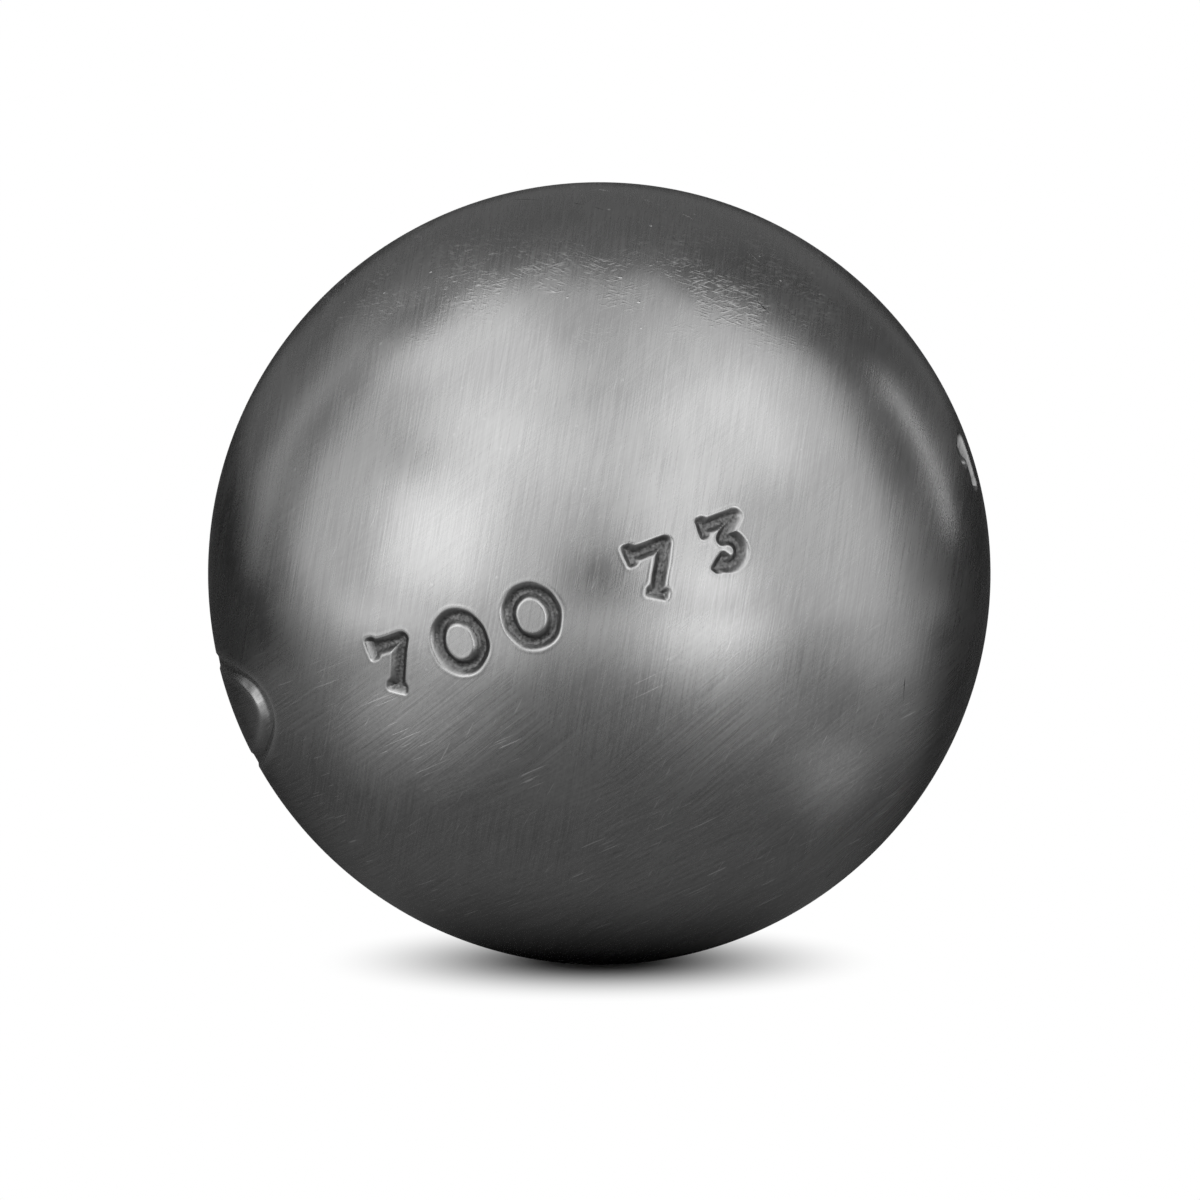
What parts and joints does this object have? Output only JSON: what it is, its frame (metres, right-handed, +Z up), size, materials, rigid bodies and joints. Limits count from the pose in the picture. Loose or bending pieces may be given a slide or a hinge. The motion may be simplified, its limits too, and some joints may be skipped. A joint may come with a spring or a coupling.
{
  "type": "petanque boule",
  "caption": "Hollow steel throwing ball for petanque: pressed half shells welded rim to rim and turned smooth, stamped with plain weight and size figures and an empty oval.",
  "frame": {"origin": "centre of the ball", "axes": "+Z up from the ground that the ball lies on, -Y towards the side with the stamped row"},
  "size_m": [0.073, 0.073, 0.073],
  "materials": {
    "ball_steel": "satin, with fine turned and brushed lines and dull dark floors in the stamped marks",
    "weld_steel": "weld metal, turned flush with the ball and brushed together with it"
  },
  "bodies": {
    "root": {"front_half_shell": "ball_steel", "rear_half_shell": "ball_steel", "weld_bead": "weld_steel"}
  },
  "joints": []
}
